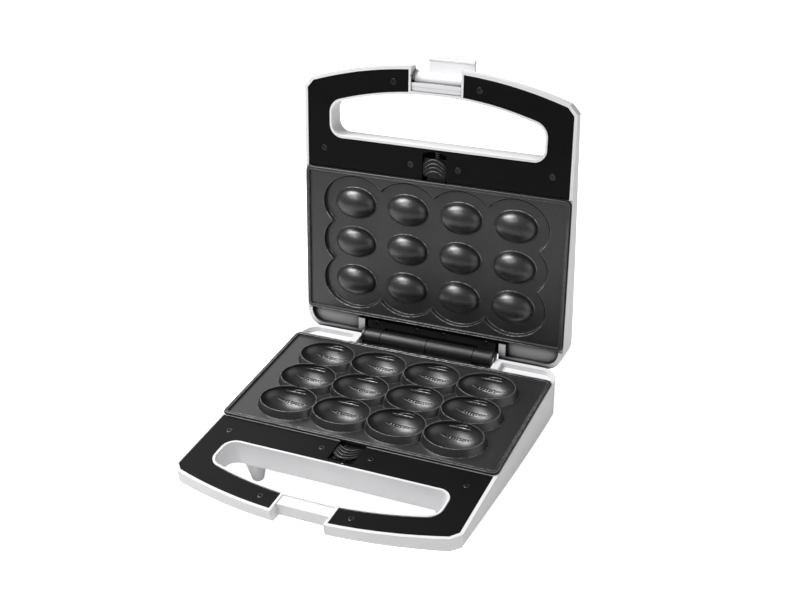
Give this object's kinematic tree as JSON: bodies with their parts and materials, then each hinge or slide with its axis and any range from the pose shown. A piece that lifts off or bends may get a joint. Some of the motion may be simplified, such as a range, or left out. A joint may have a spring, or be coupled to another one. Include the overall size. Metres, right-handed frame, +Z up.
{
  "type": "snack maker",
  "caption": "Hinged countertop snack maker with removable non-stick plates of oval nut-shell cups and domes, handle loops and a latch clip, shown open.",
  "frame": {"origin": "on the floor under the middle of the base cook plate", "axes": "+X to the cooker's right seen from the handle, +Y towards the hinge, +Z up"},
  "size_m": [0.2314, 0.3137, 0.2737],
  "materials": {
    "white_shell": "satin white moulded shell",
    "black_trim": "smooth satin black",
    "black_button": "satin black",
    "black_screw": "blackened steel",
    "nonstick": "dark grey speckled non-stick coat on cast aluminium",
    "hinge_black": "fine-grained black",
    "zinc_screw": "zinc plated",
    "pin_steel": "bright steel",
    "spring_steel": "spring steel",
    "heater_sheath": "dull annealed sheath",
    "reflector_sheet": "bright aluminised sheet",
    "terminal_plastic": "cream thermoset",
    "gland_black": "black nylon",
    "foot_rubber": "dark grey rubber",
    "lamp_lens": "amber lens"
  },
  "bodies": {
    "base": {"base_housing": "white_shell", "base_trim": "black_trim", "base_trim_screws": "black_screw", "base_button_spring": "spring_steel", "base_element": "heater_sheath", "base_element_clips": "spring_steel", "base_reflector": "reflector_sheet", "base_reflector_screws": "zinc_screw", "base_hinge_left": "hinge_black", "base_hinge_right": "hinge_black", "base_hinge_screws": "black_screw", "hinge_pin": "pin_steel", "thermostat": "pin_steel", "thermal_fuse": "pin_steel", "terminal_block": "terminal_plastic", "cord_inlet_gland": "gland_black", "cord_inlet_nut": "gland_black", "foot_pads": "foot_rubber"},
    "lid": {"lid_housing": "white_shell", "lid_trim": "black_trim", "lid_trim_screws": "black_screw", "lid_button_spring": "spring_steel", "lid_element": "heater_sheath", "lid_element_clips": "spring_steel", "lid_reflector": "reflector_sheet", "lid_reflector_screws": "zinc_screw", "lid_hinge_leaf": "hinge_black", "lid_hinge_screws": "black_screw", "latch_pin": "pin_steel", "lamp_lenses": "lamp_lens"},
    "base_plate": {"base_cook_plate": "nonstick"},
    "lid_plate": {"lid_cook_plate": "nonstick"},
    "base_button": {"base_release_button": "black_button"},
    "lid_button": {"lid_release_button": "black_button"},
    "latch": {"latch_clip": "white_shell"}
  },
  "joints": [
    {"name": "lid_hinge", "type": "hinge", "parent": "base", "child": "lid", "pos_m": [0, 0.0797, 0.04355], "axis": [-1, 0, 0], "range_deg": [-99.6, 0]},
    {"name": "latch_pivot", "type": "hinge", "parent": "lid", "child": "latch", "pos_m": [0, 0.13048, 0.26194], "axis": [-1, 0, 0], "range_deg": [-180, 0]},
    {"name": "base_button_slide", "type": "slide", "parent": "base", "child": "base_button", "axis": [0, -1, 0], "range_m": [0, 0.004], "stiffness_N_per_m": 500, "springref_m": -0.004, "deforming": ["base_button_spring"]},
    {"name": "lid_button_slide", "type": "slide", "parent": "lid", "child": "lid_button", "axis": [0, 0.1668, 0.986], "range_m": [0, 0.004], "stiffness_N_per_m": 500, "springref_m": -0.004, "deforming": ["lid_button_spring"]},
    {"name": "base_plate_tilt", "type": "hinge", "parent": "base", "child": "base_plate", "pos_m": [0, 0.0639, 0.0372], "axis": [-1, 0, 0], "range_deg": [0, 8]},
    {"name": "lid_plate_tilt", "type": "hinge", "parent": "lid", "child": "lid_plate", "pos_m": [0, 0.09441, 0.05709], "axis": [1, 0, 0], "range_deg": [0, 8]}
  ]
}
